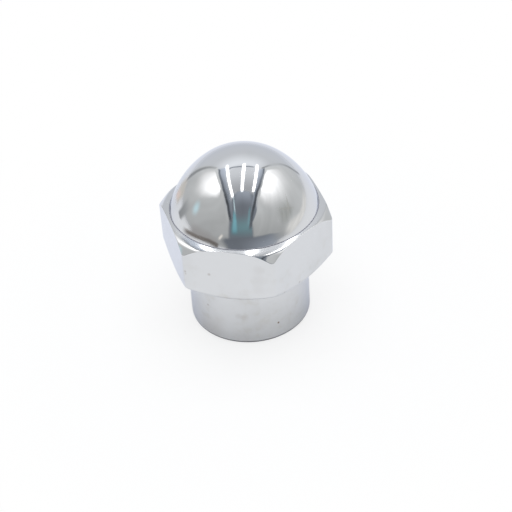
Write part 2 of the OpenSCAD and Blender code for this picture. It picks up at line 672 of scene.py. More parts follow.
class Nodes:
    """The node tree of a material or a world, with short calls that add and join its nodes."""

    def __init__(self, owner: bpy.types.Material | bpy.types.World) -> None:
        """Starts an empty tree.

        Args:
            owner: the material or the world.
        """
        self.owner = owner
        owner.use_nodes = True
        self.tree = owner.node_tree
        self.tree.nodes.clear()

    def add(self, kind: str, **settings: object) -> bpy.types.Node:
        """Adds a node and sets its properties.

        Args:
            kind: Blender's name for the node's type.
            settings: properties of the node, by name.

        Returns:
            The node.
        """
        node = self.tree.nodes.new(kind)
        for name, value in settings.items():
            setattr(node, name, value)
        return node

    def feed(self, node: bpy.types.Node, **inputs: object) -> bpy.types.Node:
        """Sets a node's inputs, each from a number, a colour or another node's output.

        Args:
            node: the node to feed.
            inputs: the sockets by name, with underscores for spaces, or i0, i1 for their places.

        Returns:
            The same node.
        """
        for name, value in inputs.items():
            spot = int(name[1:]) if name[0] == "i" and name[1:].isdigit() else name.replace("_", " ")
            socket = node.inputs[spot]
            if isinstance(value, bpy.types.NodeSocket):
                self.tree.links.new(value, socket)
            else:
                socket.default_value = value
        return node

    def math(self, operation: str, *values: object) -> bpy.types.NodeSocket:
        """Adds a Math node with its inputs in order."""
        node = self.add("ShaderNodeMath", operation=operation)
        return self.feed(node, **{f"i{k}": v for k, v in enumerate(values)}).outputs[0]

    def ramp(self, value: object, low: float, high: float, out_low: float, out_high: float) -> object:
        """Adds a Map Range node that steps smoothly from out_low at low to out_high at high."""
        node = self.add("ShaderNodeMapRange", interpolation_type="SMOOTHSTEP")
        return self.feed(node, i0=value, i1=low, i2=high, i3=out_low, i4=out_high).outputs[0]

    def noise(self, place: object, scale: float, detail: float, stretch: Colour = (1, 1, 1)) -> object:
        """Adds a noise with so many spots in a metre, stretched along the axes."""
        spot = self.feed(self.add("ShaderNodeMapping"), Vector=place, Scale=stretch).outputs[0]
        return self.feed(self.add("ShaderNodeTexNoise"), Vector=spot, Scale=scale, Detail=detail).outputs[0]

    def blend(self, share: object, first: object, second: object) -> object:
        """Adds a mix of two colours, by the second colour's share."""
        node = self.add("ShaderNodeMix", data_type="RGBA")
        return self.feed(node, i0=share, i6=first, i7=second).outputs[2]

    def seen(self) -> tuple[object, object]:
        """Adds a Light Path node, to tell the rays that show a thing from those that light one.

        Returns:
            A socket that is 1 for rays of the camera, and one that is 1 for those of mirrors too.
        """
        ray = self.add("ShaderNodeLightPath").outputs
        seen = self.math("MAXIMUM", ray["Is Camera Ray"], ray["Is Glossy Ray"])
        return ray["Is Camera Ray"], self.math("MAXIMUM", seen, ray["Is Transmission Ray"])

    def metal(self, bump: Place, lines: object, **inputs: object) -> bpy.types.Material:
        """Finishes a metal.

        Args:
            bump: strength of its tool lines, and their depth in metres.
            lines: the socket of the tool lines' height.
            inputs: the shader's other inputs.

        Returns:
            The material.
        """
        relief = self.feed(self.add("ShaderNodeBump"), Strength=bump[0], Distance=bump[1], Height=lines)
        shader = self.add("ShaderNodeBsdfPrincipled")
        self.feed(shader, Metallic=1.0, Normal=relief.outputs[0], **inputs)
        return self.output(shader)

    def lit(self, share: object, first: bpy.types.Node, second: bpy.types.Node) -> bpy.types.Material:
        """Finishes a material that mixes two shaders and lights nothing but what looks at it.

        Args:
            share: the second shader's share.
            first: the first shader.
            second: the second shader.

        Returns:
            The material.
        """
        mix = self.add("ShaderNodeMixShader")
        self.owner.cycles.emission_sampling = "NONE"
        return self.output(self.feed(mix, i0=share, i1=first.outputs[0], i2=second.outputs[0]))

    def output(self, shader: bpy.types.Node, kind: str = "Material") -> bpy.types.Material:
        """Joins the shader to the output of the material or world, and finishes it."""
        self.feed(self.add(f"ShaderNodeOutput{kind}"), Surface=shader.outputs[0])
        return self.owner


@dataclass(frozen=True)
class Pit:
    """A small brown pit or a faint stain in the plating.

    Attributes:
        place: its middle.
        radius: its radius.
        depth: how dark it is, from 0 to 1.
    """

    place: tuple[float, float, float]
    radius: float
    depth: float


PITS = (
    Pit((5.68, -6.79, 2.99), 0.26, 0.85), Pit((-4.36, -7.70, 5.90), 0.24, 0.40),
    Pit((-2.75, -11.0, 14.49), 0.32, 0.30), Pit((-6.15, -11.0, 14.60), 0.26, 0.35),
    Pit((-6.10, -11.0, 14.20), 0.22, 0.25), Pit((7.35, -9.28, 10.97), 0.30, 0.40),
    Pit((8.94, -6.51, 10.85), 0.30, 0.25), Pit((0.35, -8.84, 5.30), 0.70, 0.10),
    Pit((1.25, -8.76, 5.10), 0.80, 0.10), Pit((3.30, -8.21, 3.30), 1.30, 0.07),
    Pit((-2.60, -8.46, 3.90), 1.60, 0.05), Pit((-4.20, -7.79, 1.20), 3.60, 0.13),
    Pit((0.60, -8.83, 0.40), 3.00, 0.07), Pit((4.30, -11.0, 16.1), 1.20, 0.07),
    Pit((4.20, -11.0, 14.3), 1.50, 0.06), Pit((4.10, -11.0, 12.6), 1.20, 0.05),
)


@dataclass(frozen=True)
class ChromeFinish:
    """Polished chrome plate: a mirror with faint haze, polishing lines and a few small pits.

    Attributes:
        name: the material's name.
        colour: the plate's colour.
        haze: the slightly darker colour in its cloudy patches.
        pit_colour: the rust in the pits.
        rough: least and greatest roughness.
        pit_rough: further roughness in a pit.
        pit_core: share of a pit's radius that is as dark as its middle.
        ring_rough: further roughness of the turned ring round the foot of the dome.
        ring_from: heights at which it starts and is full.
        ring_to: heights at which it ends and is gone.
        graze: tint of the light that it reflects at a low angle.
        mottle: colour of the darker speckles on the lower half.
        mottle_share: greatest share of the speckles.
        mottle_heights: heights at which the speckles start to fade and are gone.
        stain: colour of the brown line along the hexagon's lower edge.
        stain_height: height of the line's middle.
        stain_widths: distances from there at which the line starts to fade and is gone.
        bump: strength of the polishing lines, and their depth in metres.
        pits: the pits and stains that can be seen.
    """

    name: str = "chrome_plate"
    colour: Colour = (0.70, 0.705, 0.715)
    haze: Colour = (0.65, 0.655, 0.66)
    pit_colour: Colour = (0.20, 0.13, 0.08)
    rough: Place = (0.03, 0.07)
    pit_rough: float = 0.4
    pit_core: float = 0.2
    ring_rough: float = 0.08
    ring_from: Place = (18.2, 18.4)
    ring_to: Place = (18.80, 18.86)
    graze: Colour = (0.88, 0.905, 0.985)
    mottle: Colour = (0.56, 0.54, 0.50)
    mottle_share: float = 0.32
    mottle_heights: Place = (12.0, 18.0)
    stain: Colour = (0.38, 0.27, 0.22)
    stain_height: float = 10.42
    stain_widths: Place = (0.05, 0.24)
    bump: Place = (0.006, 0.0002)
    pits: tuple[Pit, ...] = ()

    def material(self) -> bpy.types.Material:
        """Makes the chrome.

        Returns:
            The material.
        """
        n = Nodes(bpy.data.materials.new(self.name))
        place = n.add("ShaderNodeTexCoord").outputs["Object"]
        height = n.math("DIVIDE", n.feed(n.add("ShaderNodeSeparateXYZ"), Vector=place).outputs["Z"], MM)
        cloud = n.noise(place, 160.0, 4.0)
        lines = n.noise(place, 220.0, 2.0, (1.0, 1.0, 14.0))
        colour = n.blend(n.ramp(cloud, 0.45, 0.75, 0.0, 1.0), (*self.colour, 1), (*self.haze, 1))
        colour = self.mottled_and_lined(n, place, height, colour)
        rough = n.ramp(n.math("MULTIPLY", cloud, lines), 0.12, 0.42, *self.rough)
        start = n.ramp(height, *self.ring_from, 0.0, self.ring_rough)
        ring = n.math("MULTIPLY", start, n.ramp(height, *self.ring_to, 1.0, 0.0))
        rough = n.math("ADD", rough, ring)
        for pit in self.pits:
            gap = n.add("ShaderNodeVectorMath", operation="DISTANCE")
            n.feed(gap, i0=place, i1=tuple(c * MM for c in pit.place))
            r = pit.radius * MM
            spot = n.ramp(gap.outputs["Value"], self.pit_core * r, r, pit.depth, 0.0)
            colour = n.blend(spot, colour, (*self.pit_colour, 1))
            rough = n.math("ADD", rough, n.math("MULTIPLY", spot, self.pit_rough))
        tint = (*self.graze, 1)
        return n.metal(self.bump, lines, Base_Color=colour, Roughness=rough, Specular_Tint=tint)

    def mottled_and_lined(self, n: Nodes, place: object, height: object, colour: object) -> object:
        """Adds the darker speckles on the lower half and the brown line along the hexagon's lower edge.

        Args:
            n: the material's tree.
            place: the socket of the Object coordinates.
            height: the socket of the height.
            colour: the socket of the clean plate's colour.

        Returns:
            The socket of the marked plate's colour.
        """
        low = n.ramp(height, *self.mottle_heights, self.mottle_share, 0.0)
        specks = n.ramp(n.noise(place, 850.0, 6.0), 0.46, 0.72, 0.0, 1.0)
        patches = n.ramp(n.noise(place, 170.0, 2.0), 0.38, 0.62, 0.2, 1.0)
        share = n.math("MULTIPLY", low, n.math("MULTIPLY", specks, patches))
        colour = n.blend(share, colour, (*self.mottle, 1))
        gap = n.math("ABSOLUTE", n.math("SUBTRACT", height, self.stain_height))
        near = n.ramp(gap, *self.stain_widths, 1.0, 0.0)
        edge_line_share = n.ramp(n.noise(place, 420.0, 3.0), 0.40, 0.66, 0.06, 0.50)
        return n.blend(n.math("MULTIPLY", near, edge_line_share), colour, (*self.stain, 1))


@dataclass(frozen=True)
class BoreFinish:
    """Cut metal inside the hole, which the plating hardly reaches: duller and greyer, with tool lines.

    Attributes:
        colour: the bare metal's colour.
        stain: the darker colour of oil in the roots.
        rough: least and greatest roughness.
        bump: strength of the tool lines, and their depth in metres.
    """

    colour: Colour = (0.46, 0.45, 0.43)
    # stain: the darker colour of oil, in patches.
    stain: Colour = (0.22, 0.205, 0.185)
    rough: Place = (0.28, 0.48)
    bump: Place = (0.25, 0.0001)

    def material(self) -> bpy.types.Material:
        """Makes the bore's metal.

        Returns:
            The material.
        """
        n = Nodes(bpy.data.materials.new("bore_metal"))
        place = n.add("ShaderNodeTexCoord").outputs["Object"]
        patches = n.ramp(n.noise(place, 350.0, 5.0), 0.4, 0.7, 0.0, 1.0)
        rings = n.noise(place, 300.0, 3.0, (1.0, 1.0, 22.0))
        colour = n.blend(patches, (*self.colour, 1), (*self.stain, 1))
        rough = n.ramp(rings, 0.3, 0.7, *self.rough)
        return n.metal(self.bump, rings, Base_Color=colour, Roughness=rough)


# --------------------------------------------------------------------------- light tent


def resample(path: Array, count: int) -> Array:
    """Points spaced evenly along a line of points.

    Args:
        path: the points, as an array of points by 2.
        count: how many points to make.

    Returns:
        An array of count by 2.
    """
    along = np.concatenate([[0.0], np.cumsum(np.linalg.norm(np.diff(path, axis=0), axis=1))])
    at = np.linspace(0.0, along[-1], count)
    return np.stack([np.interp(at, along, path[:, k]) for k in range(2)], axis=-1)


def folds(along: Array, across: Array) -> Array:
    """Soft folds of a hanging cloth: the sum of three sine waves that run mostly across it.

    Args:
        along: share of the cloth's length.
        across: share of its width.

    Returns:
        A value from -1 to 1 at each place.
    """
    bend = along + 0.12 * np.sin(5.0 * across + 1.0)
    waves = 0.5 * np.sin(23.0 * bend) + 0.3 * np.sin(51.0 * bend - 4.0 * across)
    return waves + 0.2 * np.sin(9.0 * bend + 14.0 * across)


def turned(x: Array, y: Array, z: Array, turn: float) -> Array:
    """Points turned about the upright axis: (x cos t - y sin t, x sin t + y cos t, z)."""
    cos, sin = math.cos(math.radians(turn)), math.sin(math.radians(turn))
    return np.stack([cos * x - sin * y, sin * x + cos * y, z], axis=-1)


@dataclass(frozen=True)
class Card:
    """A card or cloth of the light tent, seen only in reflections.

    Its two long edges are lists of directions, azimuth and elevation. Azimuth 0 is towards the
    camera and 90 to its right.

    Attributes:
        name: the card's name.
        low: directions along one long edge.
        high: directions along the other.
        glow: light at even steps along the low edge, then along the high edge.
        tint: colour of the light.
        feather: shares of the width that fade at the low and the high edge.
        ends: shares of the length that fade at the start and the end.
        folds: how much its light varies over its soft folds.
        layer: how near the middle of the tent it hangs, from 0 for the tent's own wall.
    """

    name: str
    low: Line
    high: Line
    glow: tuple[tuple[float, ...], tuple[float, ...]]
    tint: Colour = WHITE
    feather: Place = (0.1, 0.1)
    ends: Place = (0.04, 0.04)
    folds: float = 0.0
    layer: int = 1


def strip(
    name: str,
    line: Line,
    half: Place,
    levels: tuple[float, ...],
    tint: Colour,
    feather: Place,
    ends: Place = (0.04, 0.04),
    layer: int = 1,
) -> Card:
    """A card that follows a line of directions.

    Each point of the line is moved square to the line's own direction there, by half to either side.

    Args:
        name: the card's name.
        line: directions along the middle of the card.
        half: half the card's width, at its start and at its end.
        levels: light at even steps along it.
        tint: colour of the light.
        feather: shares of the width that fade at the two edges.
        ends: shares of the length that fade at the start and the end.
        layer: how near the middle of the tent it hangs.

    Returns:
        The card.
    """
    middle = resample(np.array(line, float), LINE_POINTS)
    along = np.gradient(middle, axis=0)
    along /= np.linalg.norm(along, axis=1, keepdims=True)
    width = np.linspace(*half, LINE_POINTS)[:, None]
    across = np.stack([-along[:, 1], along[:, 0]], axis=-1) * width
    low, high = (tuple(map(tuple, edge.tolist())) for edge in (middle - across, middle + across))
    return Card(name, low, high, (levels, levels), tint, feather, ends, layer=layer)


def tube(name: str, start: Place, end: Place, half: float) -> Card:
    """A white tube that hangs straight and level under the ceiling.

    A point (x, y) of a ceiling at height 1 is seen at azimuth atan2(x, -y) and elevation
    atan(1 / distance).

    Args:
        name: the tube's name.
        start: its front end on that ceiling.
        end: its back end.
        half: half its width.

    Returns:
        Its card.
    """
    t, edges = np.linspace(0.0, 1.0, TUBE_POINTS), []
    for side in (-half, half):
        x = start[0] + (end[0] - start[0]) * t + side
        y = start[1] + (end[1] - start[1]) * t
        azimuth = np.degrees(np.unwrap(np.arctan2(x, -y)))
        elevation = np.degrees(np.arctan2(1.0, np.hypot(x, y)))
        edges.append(tuple(zip(azimuth.tolist(), elevation.tolist())))
    glow = (TUBE_LIGHT,), (TUBE_LIGHT,)
    return Card(name, *edges, glow, feather=(0.3, 0.3), ends=(0.06, 0.08), layer=7)


@dataclass
class LightTent:
    """The tent round the nut: its wall and ceiling, tubes, side panels and front opening.

    Attributes:
        radius: distance from the nut to the tent's wall, in metres.
        turn: azimuth of the camera in the frame.
        cards: the cards.
        layer_gap: how much nearer each further layer of cards hangs, in metres.
        centre: height of the point that all directions start from, in metres.
        lying: share of the way to the floor at which a card lies on it.
        lying_gap: how much less that share is for each layer.
        tint: colour of the wall's light.
        front: light of the wall in front.
        backdrop: light of the wall behind, how much it gains towards the top and by the floor.
        ceiling: light of the ceiling in front, and how much it gains towards the back.
        behind: azimuths, to either side, over which the front wall gives way to the backdrop.
        above: elevations over which the wall gives way to the ceiling.
        upper: elevations over which the backdrop gains light.
        lower: elevations over which it loses what it gains by the floor.
        deep: distances to the back over which the ceiling gains light, with a radius of 1.
        material: the glow of everything in the tent, which build makes.
    """

    radius: float
    turn: float
    cards: tuple[Card, ...]
    layer_gap: float = 0.02
    centre: float = 0.02
    lying: float = 0.985
    lying_gap: float = 0.003
    tint: Colour = (0.97, 1.0, 1.04)
    front: float = 0.6
    backdrop: Colour = (0.75, 0.34, 0.12)
    ceiling: Place = (0.50, 0.36)
    behind: Place = (110, 150)
    above: Place = (58, 70)
    upper: Place = (30, 62)
    lower: Place = (-3, 6)
    deep: Place = (-0.4, 0.3)
    material: bpy.types.Material = field(init=False)

    def place(self, azimuth: Array, elevation: Array, distance: Array | float) -> Array:
        """Points in a direction: distance * (sin a cos e, -cos a cos e, sin e), turned with the camera.

        Args:
            azimuth: azimuths.
            elevation: elevations.
            distance: distance in metres.

        Returns:
            The points, with one more axis of 3.
        """
        a, e = np.radians(azimuth + 0 * elevation), np.radians(elevation + 0 * azimuth)
        points = turned(np.sin(a) * np.cos(e), -np.cos(a) * np.cos(e), np.sin(e), self.turn)
        return points * np.asarray(distance)[..., None] + np.array([0.0, 0.0, self.centre])

    def wall(self) -> None:
        """Puts up the tent's own wall and ceiling."""
        azimuth = np.linspace(-180, 180, 181)[None, :]
        elevation = np.linspace(-1, 90, 80)[:, None]
        behind = smooth(*self.behind, np.abs(azimuth)) + 0 * elevation
        above = smooth(*self.above, elevation) + 0 * azimuth
        level, upper, lower = self.backdrop
        backdrop = level + upper * smooth(*self.upper, elevation)
        backdrop = backdrop + lower * (1 - smooth(*self.lower, elevation))
        depth = -np.cos(np.radians(azimuth)) * np.cos(np.radians(elevation))
        ceiling = self.ceiling[0] + self.ceiling[1] * smooth(*self.deep, depth)
        level = (self.front * (1 - behind) + backdrop * behind) * (1 - above) + ceiling * above
        points = self.place(azimuth, elevation, self.radius)
        self.sheet("tent_wall", points, level, self.tint, np.ones_like(level))

    def hang(self, card: Card) -> None:
        """Hangs one card: directions that run straight from its low edge to its high edge.

        Args:
            card: the card.
        """
        across = np.linspace(0.0, 1.0, CARD_ROWS)[:, None]
        along = np.linspace(0.0, 1.0, CARD_COLUMNS)[None, :]
        low, high = (resample(np.array(edge, float), CARD_COLUMNS) for edge in (card.low, card.high))
        way = low[None] * (1 - across[..., None]) + high[None] * across[..., None]
        below, above = (np.interp(along, np.linspace(0, 1, len(g)), g) for g in card.glow)
        level = (below * (1 - across) + above * across) * (1 + card.folds * folds(along, across))
        cover, shares = 1.0, (across, 1 - across, along, 1 - along)
        for fade, share in zip((*card.feather, *card.ends), shares):
            cover = cover * smooth(0, max(fade, 1e-3), share)
        points = self.place(way[..., 0], way[..., 1], self.distance(way[..., 1], card.layer))
        self.sheet(card.name, points, level, card.tint, cover)

    def distance(self, elevation: Array, layer: int) -> Array:
        """Distance of a card: the tent's radius, or the floor's distance where the card lies on it.

        A ray that sinks by the angle e from the tent's centre meets the floor at centre / sin e.

        Args:
            elevation: elevations.
            layer: the card's layer.

        Returns:
            The distances in metres.
        """
        floor = self.centre / np.sin(np.radians(np.maximum(-elevation, 1e-3)))
        lying = floor * (self.lying - self.lying_gap * layer)
        return np.minimum(self.radius - self.layer_gap * layer, lying)

    def sheet(self, name: str, points: Array, level: Array, tint: Colour, cover: Array) -> None:
        """Makes a stage mesh from a grid of points, which only reflections show.

        Args:
            name: the object's name.
            points: rows by columns by 3, in metres.
            level: its light, rows by columns.
            tint: colour of the light.
            cover: how little it lets through, rows by columns.
        """
        rows, columns = level.shape
        index = np.arange(rows * columns).reshape(rows, columns)
        faces = np.stack([index[:-1, :-1], index[1:, :-1], index[1:, 1:], index[:-1, 1:]], axis=-1)
        mesh = new_mesh(name, points, faces)
        colour = np.concatenate([level[..., None] * np.array(tint), cover[..., None]], axis=-1)
        layer = mesh.attributes.new("glow", "FLOAT_COLOR", "POINT")
        layer.data.foreach_set("color", colour.reshape(-1).astype(np.float32))
        mesh.materials.append(self.material)
        made = put(name, mesh)
        made.visible_camera = made.visible_diffuse = made.visible_shadow = False

    def glow(self) -> bpy.types.Material:
        """The tent's material: light of the mesh's own colour, let through where its cover fades.

        Returns:
            The material.
        """
        n = Nodes(bpy.data.materials.new("tent_glow"))
        layer = n.add("ShaderNodeAttribute", attribute_name="glow").outputs
        light = n.feed(n.add("ShaderNodeEmission"), Color=layer["Color"], Strength=1.0)
        return n.lit(layer["Alpha"], n.add("ShaderNodeBsdfTransparent"), light)

    def build(self) -> None:
        """Puts up the wall and hangs every card."""
        self.material = self.glow()
        self.wall()
        for card in self.cards:
            self.hang(card)
        LOG.info("light tent: %d cards", len(self.cards))


@dataclass
class OverheadTube:
    """The middle tube, which crosses straight over the nut, on a flat strip under the tent's top.

    Attributes:
        start: its front end on a ceiling of height 1.
        end: its back end.
        half: half its width.
        rise: height of the strip in metres.
        fade: share of the strip that fades at each edge.
        end_fade: share of it that fades at each end.
    """

    start: Place = (-0.038, -0.44)
    end: Place = (0.082, 0.58)
    half: float = 0.046
    rise: float = 0.85
    fade: float = 0.3
    end_fade: float = 0.12

    def build(self, tent: LightTent) -> None:
        """Hangs the tube: start + (end - start) * t + half * s sideways, at a level height.

        Args:
            tent: the tent that it hangs in.
        """
        t, s = np.linspace(0, 1, 41)[:, None], np.linspace(-1, 1, 21)[None, :]
        x = self.start[0] + (self.end[0] - self.start[0]) * t + self.half * s
        y = self.start[1] + (self.end[1] - self.start[1]) * t + 0 * s
        points = self.rise * turned(x, y, 1 + 0 * x, tent.turn)
        cover = smooth(0, 2 * self.fade, 1 - np.abs(s))
        cover = cover * smooth(0, self.end_fade, t) * smooth(0, self.end_fade, 1 - t)
        tent.sheet("tube_middle", points, TUBE_LIGHT + 0 * cover, WHITE, cover)


def tent_cards() -> tuple[Card, ...]:
    """Every card of the tent, from the wall inwards.

    Returns:
        The cards.
    """
    slate, cyan, teal = (0.90, 0.99, 1.13), (0.50, 1.05, 1.20), (0.62, 1.04, 1.14)
    grey, brown, beige = (0.97, 1.0, 1.02), (1.08, 0.98, 0.92), (1.05, 1.0, 0.93)
    left_line = (
        (-136, 46), (-133, 50.5), (-127, 52.5), (-119, 55.4), (-110, 57.9), (-98, 60), (-86, 60.3),
        (-74, 58.9), (-62, 56.5), (-50, 53.2), (-44, 50.2), (-38, 47), (-35, 44), (-32, 40), (-28.5, 36),
        (-26.5, 32), (-25.5, 29),
    )
    right_line = (
        (5, 20), (7, 24), (9, 28), (12.5, 36), (18.5, 44), (28, 51), (36, 55.8), (48, 59.4), (60, 61.3),
        (75, 62.5), (90, 62.7), (102, 60.8), (114, 57.5), (124, 54.2), (132, 50),
    )
    left_top = (
        (-146, 56), (-134, 61.5), (-120, 64.5), (-106, 66.5), (-92, 67.3), (-78, 66.8), (-62, 64.5),
        (-49, 61), (-38, 56), (-30, 50), (-24, 40), (-22, 30),
    )
    right_top = (
        (7, 28), (12, 42), (20, 52), (30, 58.5), (42, 63), (56, 66), (72, 68), (96, 68), (108, 66.5),
        (120, 64), (132, 59),
    )
    back = (
        (142, 61.2), (150, 63.8), (165, 66.3), (180, 67), (195, 66), (205, 63.8), (212, 62.3), (217, 63),
    )
    return (
        Card("opening", ((-29, -1), (-8, -1), (14, -1)), ((-36, 64), (-6, 70), (34, 64)),
             ((0.21, 0.21, 0.22), (0.3, 0.22, 0.3)), slate, (0.02, 0.1), (0.06, 0.06)),
        Card("opening_top", ((-30, 46), (-5, 48), (24, 46)), ((-32, 66), (-5, 70), (30, 66)),
             ((0.4, 0.42, 0.44), (0.4, 0.48, 0.48)), slate, (0.9, 0.1), (0.2, 0.2), layer=2),
        Card("opening_haze", ((-26, 9), (-8, 9), (11, 9)), ((-24, 44), (-8, 42), (12, 44)),
             ((0.24, 0.26, 0.3), (0.34, 0.4, 0.4)), teal, (0.5, 0.6), (0.1, 0.1), layer=3),
        Card("left_panel", ((-149, -1), (-120, -1), (-90, -1), (-60, -1), (-22, -1)), ((-140, 45),
             (-115, 58), (-90, 60), (-60, 57), (-26, 33)), ((0.68, 0.6, 0.52, 0.47, 0.44),
             (0.86, 0.8, 0.78, 0.66, 0.58)), (0.98, 1.0, 1.0), (0.02, 0.03), (0.02, 0.04), folds=0.05,
             layer=3),
        Card("right_panel", ((7, -1), (40, -1), (80, -1), (110, -1), (142, -1)), ((10, 28), (40, 56),
             (80, 63), (110, 60), (131, 50)), ((0.38, 0.42, 0.64, 0.7, 0.72),
             (0.56, 0.76, 0.62, 0.7, 0.84)), (0.98, 1.0, 1.0), (0.02, 0.03), (0.03, 0.02), folds=0.05,
             layer=3),
        Card("left_dusk", ((-94, -10), (-78, -7), (-60, -4), (-38, -2)), ((-92, 6), (-76, 11), (-58, 13),
             (-38, 8)), ((0.42, 0.38), (0.46, 0.42)), (1.02, 1.0, 0.99), (0.2, 0.6), (0.25, 0.15), layer=4),
        Card("right_dusk", ((52, 6), (70, 6), (92, 8)), ((54, 30), (70, 34), (90, 30)), ((0.46, 0.47),
             (0.48, 0.58)), (0.97, 1.0, 0.97), (0.35, 0.5), (0.3, 0.35), folds=0.1, layer=4),
        Card("left_bright", ((-142, 20), (-128, 12), (-112, 14), (-98, 21), (-86, 31), (-76, 39),
             (-70, 42), (-62, 45)), ((-135, 42), (-126, 48), (-116, 52), (-104, 54.6), (-90, 56),
             (-78, 55.4), (-70, 51.5), (-62, 48)), ((0.6, 0.8, 1.0, 1.1, 1.0), (0.9, 1.5, 2.2, 2.1, 0.9)),
             (1.0, 1.0, 1.0), (0.5, 0.04), (0.15, 0.2), layer=4),
        Card("right_bright", ((34, 38), (60, 26), (90, 14), (112, 10), (134, 14)), ((34, 50), (48, 54),
             (62, 58.6), (90, 60), (110, 57), (126, 49)), ((0.7, 0.82, 0.9, 0.86, 0.72),
             (0.9, 1.5, 2.5, 2.3, 1.2)), (1.0, 1.0, 1.0), (0.9, 0.05), (0.25, 0.05), folds=0.08, layer=5),
        Card("left_cloud", ((-101, 9), (-92, 7), (-82, 10)), ((-100, 25), (-91, 27), (-82, 24)),
             ((0.92, 0.92), (0.92, 0.88)), (0.76, 1.0, 1.07), (0.5, 0.5), (0.5, 0.5), layer=5),
        Card("left_wedge", ((-119, -9), (-110, -9), (-104, -8)), ((-117, 12), (-106, 13), (-95, 14)),
             ((0.36, 0.38), (0.44, 0.52)), grey, (0.05, 0.6), (0.3, 0.4), layer=5),
        Card("right_foot", ((52, -3), (70, -3), (100, -3), (132, -3)), ((54, 8), (72, 11), (92, 5),
             (130, 4)), ((0.8, 0.88, 0.9, 0.88), (0.8, 0.9, 0.88, 0.8)), (1.01, 1.0, 0.97), (0.1, 0.5),
             (0.2, 0.3), folds=0.08, layer=5),
        Card("left_beige", ((-150, -16), (-122, -13)), ((-146, 3), (-122, 4)), ((0.78, 0.74),
             (0.66, 0.66)), (1.05, 1.0, 0.91), (0.3, 0.4), (0.3, 0.3), layer=4),
        strip("left_orange", ((-143, -16), (-134, -10), (-127, -5)), (4.5, 4.5), (0.84,),
              (1.12, 0.94, 0.84), (0.5, 0.5), (0.4, 0.4), layer=5),
        strip("right_mark", ((60, 29), (74, 21), (90, 11)), (1.8, 1.8), (0.5, 0.46), (1.0, 1.0, 0.95),
              (0.5, 0.5), (0.5, 0.5), layer=5),
        strip("right_mark_back", ((68, 11), (80, 19), (92, 29)), (1.8, 1.8), (0.48, 0.56),
              (1.0, 1.0, 0.95), (0.5, 0.5), (0.5, 0.5), layer=6),
        Card("left_shade", left_line, left_top, ((0.66, 0.48, 0.32, 0.24, 0.2, 0.16),
             (0.86, 0.74, 0.6, 0.52, 0.42, 0.26)), slate, (0.05, 0.12), layer=6),
        Card("right_shade", right_line, right_top, ((0.16, 0.18, 0.34, 0.5), (0.26, 0.5, 0.62, 0.86)),
             slate, (0.05, 0.12), layer=6),
        strip("left_frame", left_line, (2.0, 3.2), (0.25, 0.28, 0.22, 0.16, 0.09, 0.12), slate,
              (0.35, 0.35), layer=8),
        strip("right_frame", right_line, (3.2, 1.8), (0.2, 0.1, 0.14, 0.24, 0.32, 0.24), slate,
              (0.35, 0.35), layer=8),
        strip("rear_left", ((-137, 44), (-139.5, 30), (-140.5, 15), (-141.5, 4), (-143, -4)), (3.0, 4.8),
              (0.62, 0.48, 0.38, 0.34, 0.4), grey, (0.5, 0.5), layer=8),
        strip("rear_right", ((130.5, 55.5), (132.5, 48), (134, 42), (136.5, 30), (139, 18), (140, 6),
              (141, -6)), (2.8, 2.6), (0.3, 0.46, 0.68, 0.66, 0.56, 0.4, 0.46), grey, (0.5, 0.5), layer=8),
        strip("back_line", back, (2.1, 2.1), (0.33,), slate, (0.45, 0.45), layer=2),
        strip("stripe_left", ((-30, 58), (-24, 50), (-19.5, 42), (-18, 36)), (1.4, 2.4),
              (0.85, 0.95, 0.55), (0.8, 1.0, 1.06), (0.5, 0.5), (0.05, 0.4), layer=8),
        strip("cyan_left", ((-23, 47), (-20, 38), (-18, 30), (-17.5, 22), (-17, 14)), (3.2, 6.5),
              (0.36, 0.44, 0.52, 0.46, 0.26), cyan, (0.4, 0.4), (0.3, 0.2), layer=7),
        strip("stripe_right", ((15, 50), (9, 41), (5.5, 30), (3.5, 19)), (3.2, 4.0),
              (0.32, 0.36, 0.4, 0.3), (0.62, 1.03, 1.15), (0.5, 0.5), (0.3, 0.3), layer=7),
        Card("horizon", ((-22, -9), (-8, -9), (10, -7), (28, -3), (56, -1)), ((-42, 6), (-32, 12),
             (-14, 14), (14, 14), (34, 12), (58, 4)), ((0.22, 0.24, 0.4, 0.46, 0.34),
             (0.2, 0.19, 0.2, 0.26, 0.32)), slate, (0.05, 0.2), (0.1, 0.3), layer=9),
        strip("left_streak", ((-100, -11), (-82, -6), (-66, -2), (-54, 0), (-46, -0.3), (-38, -1.5)),
              (3.4, 3.9), (0.27, 0.22, 0.17), brown, (0.45, 0.4), (0.2, 0.06), layer=9),
        strip("left_line_low", ((-84, -14), (-66, -11), (-50, -9), (-42, -8)), (1.0, 1.6), (0.36, 0.2),
              (1.15, 0.97, 0.92), (0.4, 0.4), (0.3, 0.06), layer=9),
        strip("right_streak", ((27, -1), (34, -2), (50, -4)), (1.3, 1.3), (0.27, 0.22, 0.26), brown,
              (0.45, 0.45), (0.3, 0.3), layer=10),
        strip("left_spot", ((-41, 5), (-34, 14)), (2.6, 2.6), (0.95,), beige, (0.5, 0.5), (0.4, 0.4),
              layer=9),
        tube("tube_left", (-0.345, -0.58), (-0.362, 0.69), 0.046),
        tube("tube_right", (0.300, -0.46), (0.420, 0.63), 0.048),
    )


# --------------------------------------------------------------------------- floor, lamps and camera


